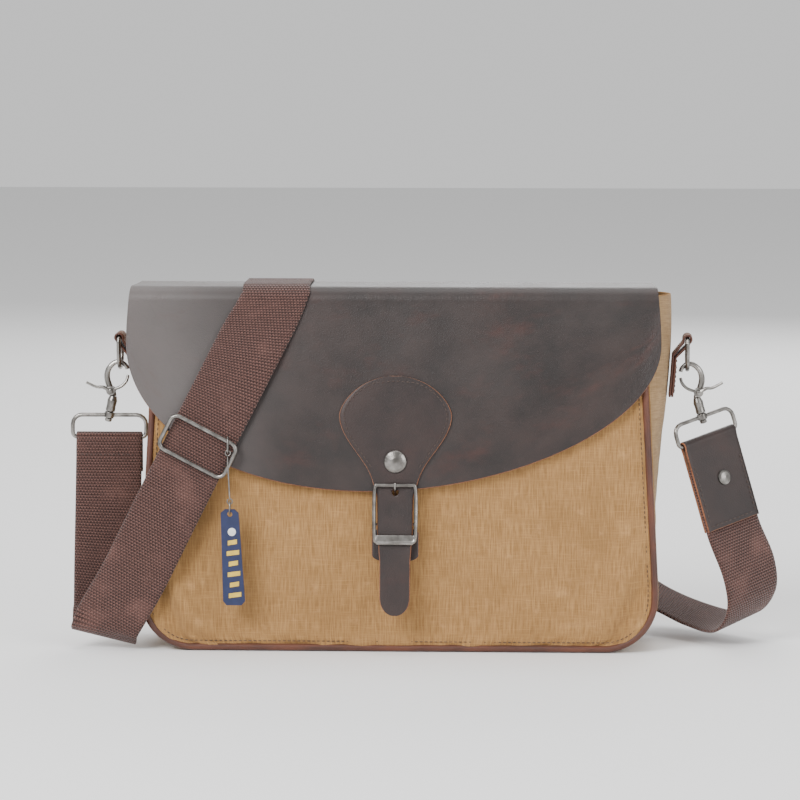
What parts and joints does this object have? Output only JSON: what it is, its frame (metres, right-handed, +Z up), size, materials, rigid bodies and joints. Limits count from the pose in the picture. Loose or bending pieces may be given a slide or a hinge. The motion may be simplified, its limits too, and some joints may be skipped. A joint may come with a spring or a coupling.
{
  "type": "messenger bag",
  "caption": "Canvas messenger bag with a leather flap, a buckled snap strap and a clip-on webbing shoulder strap laid over the front.",
  "frame": {"origin": "middle of the base, on the flat underside of the gusset", "axes": "+Z up, +X along the bag's width to the viewer's right, -Y towards the flap's front"},
  "size_m": [0.5248, 0.1513, 0.2701],
  "materials": {
    "canvas": "tan waxed cotton canvas, matt with a faint wax bloom",
    "lining": "plain cotton lining",
    "flap_leather": "dark brown oiled leather with a soft pull-up sheen",
    "trim_leather": "dark brown leather with raw russet edges",
    "piping_leather": "russet brown leather",
    "webbing": "dark brown coarse cotton webbing",
    "antique_nickel": "antique nickel plated zinc, semi-gloss",
    "tag_rubber": "moulded navy rubber"
  },
  "bodies": {
    "bag": {"front_panel": "canvas", "back_panel": "canvas", "gusset": "canvas", "front_piping": "piping_leather", "back_piping": "piping_leather", "lining": "lining", "inner_pocket": "lining", "flap_back_strip": "flap_leather", "snap_socket": "antique_nickel", "snap_washer": "antique_nickel", "strap_rear": "webbing", "strap_end_leather": "trim_leather", "strap_end_rivet": "antique_nickel", "left_loop_tab": "piping_leather", "right_loop_tab": "piping_leather", "left_ring": "antique_nickel", "right_ring": "antique_nickel"},
    "flap": {"flap": "flap_leather", "closure_tab": "trim_leather", "tab_rivet_cap": "antique_nickel", "tab_rivet_back": "antique_nickel", "strap_upper": "webbing"},
    "closure": {"closure_strap": "trim_leather", "buckle_frame": "antique_nickel", "buckle_prong": "antique_nickel", "buckle_chape": "trim_leather", "snap_stud": "antique_nickel"},
    "slider": {"slider_frame": "antique_nickel", "tag_split_ring": "antique_nickel"},
    "tag": {"tag_rod": "antique_nickel", "tag_jump_ring": "antique_nickel", "hang_tag": "tag_rubber"},
    "strap_drop": {"strap_front_drop": "webbing"},
    "strap_rise": {"strap_front_rise": "webbing"},
    "left_dring": {"left_dring": "antique_nickel"},
    "right_dring": {"right_dring": "antique_nickel"},
    "left_hook": {"left_hook": "antique_nickel", "left_hook_pin": "antique_nickel"},
    "right_hook": {"right_hook": "antique_nickel", "right_hook_pin": "antique_nickel"},
    "left_lever": {"left_lever": "antique_nickel"},
    "right_lever": {"right_lever": "antique_nickel"}
  },
  "joints": [
    {"name": "flap_hinge", "type": "hinge", "parent": "bag", "child": "flap", "pos_m": [0, 0.0263, 0.2655], "axis": [-1, 0, 0], "range_deg": [0, 100], "deforming": ["strap_front_drop", "strap_front_rise"]},
    {"name": "closure_lift", "type": "hinge", "parent": "flap", "child": "closure", "pos_m": [-0.0017, -0.04667, 0.1268], "axis": [-1, 0, 0], "range_deg": [0, 65]},
    {"name": "slider_slide", "type": "slide", "parent": "flap", "child": "slider", "axis": [0.4522, 0.0451, 0.8908], "range_m": [0, 0.03], "deforming": ["strap_front_rise"]},
    {"name": "tag_swing", "type": "hinge", "parent": "slider", "child": "tag", "pos_m": [-0.12397, -0.04859, 0.1475], "axis": [0, 1, 0], "range_deg": [-25, 25], "deforming": ["strap_front_rise"]},
    {"name": "strap_drop_swing", "type": "hinge", "parent": "bag", "child": "strap_drop", "pos_m": [-0.21592, 0, 0.15352], "axis": [-1, 0, 0], "range_deg": [0, 108.3], "deforming": ["strap_front_drop", "strap_front_rise"]},
    {"name": "strap_rise_fold", "type": "hinge", "parent": "strap_drop", "child": "strap_rise", "pos_m": [-0.2175, -0.033, 0.0085], "axis": [1, 0, 0], "range_deg": [0, 85.5], "deforming": ["strap_front_drop", "strap_front_rise"]},
    {"name": "left_dring_swing", "type": "hinge", "parent": "bag", "child": "left_dring", "pos_m": [-0.2075, 0, 0.2285], "axis": [0, 1, 0], "range_deg": [0, 4]},
    {"name": "right_dring_swing", "type": "hinge", "parent": "bag", "child": "right_dring", "pos_m": [0.2115, 0, 0.2285], "axis": [0, 1, 0], "range_deg": [-4, 0]},
    {"name": "left_hook_swivel", "type": "hinge", "parent": "bag", "child": "left_hook", "pos_m": [-0.21592, 0, 0.17001], "axis": [0.2079, 0, 0.9781], "range_deg": [-20, 20]},
    {"name": "right_hook_swivel", "type": "hinge", "parent": "bag", "child": "right_hook", "pos_m": [0.22266, 0, 0.1707], "axis": [-0.2756, 0, 0.9613], "range_deg": [-20, 20]},
    {"name": "left_lever_press", "type": "hinge", "parent": "left_hook", "child": "left_lever", "pos_m": [-0.21453, 0, 0.18812], "axis": [0, -1, 0], "range_deg": [0, 16], "stiffness_Nm_per_rad": 0.02},
    {"name": "right_lever_press", "type": "hinge", "parent": "right_hook", "child": "right_lever", "pos_m": [0.22001, 0, 0.18866], "axis": [0, 1, 0], "range_deg": [0, 16], "stiffness_Nm_per_rad": 0.02}
  ],
  "couplings": [
    {"joint": "strap_drop_swing", "follows": "flap_hinge", "ratio": 1.0828},
    {"joint": "strap_rise_fold", "follows": "flap_hinge", "ratio": 0.8546}
  ]
}
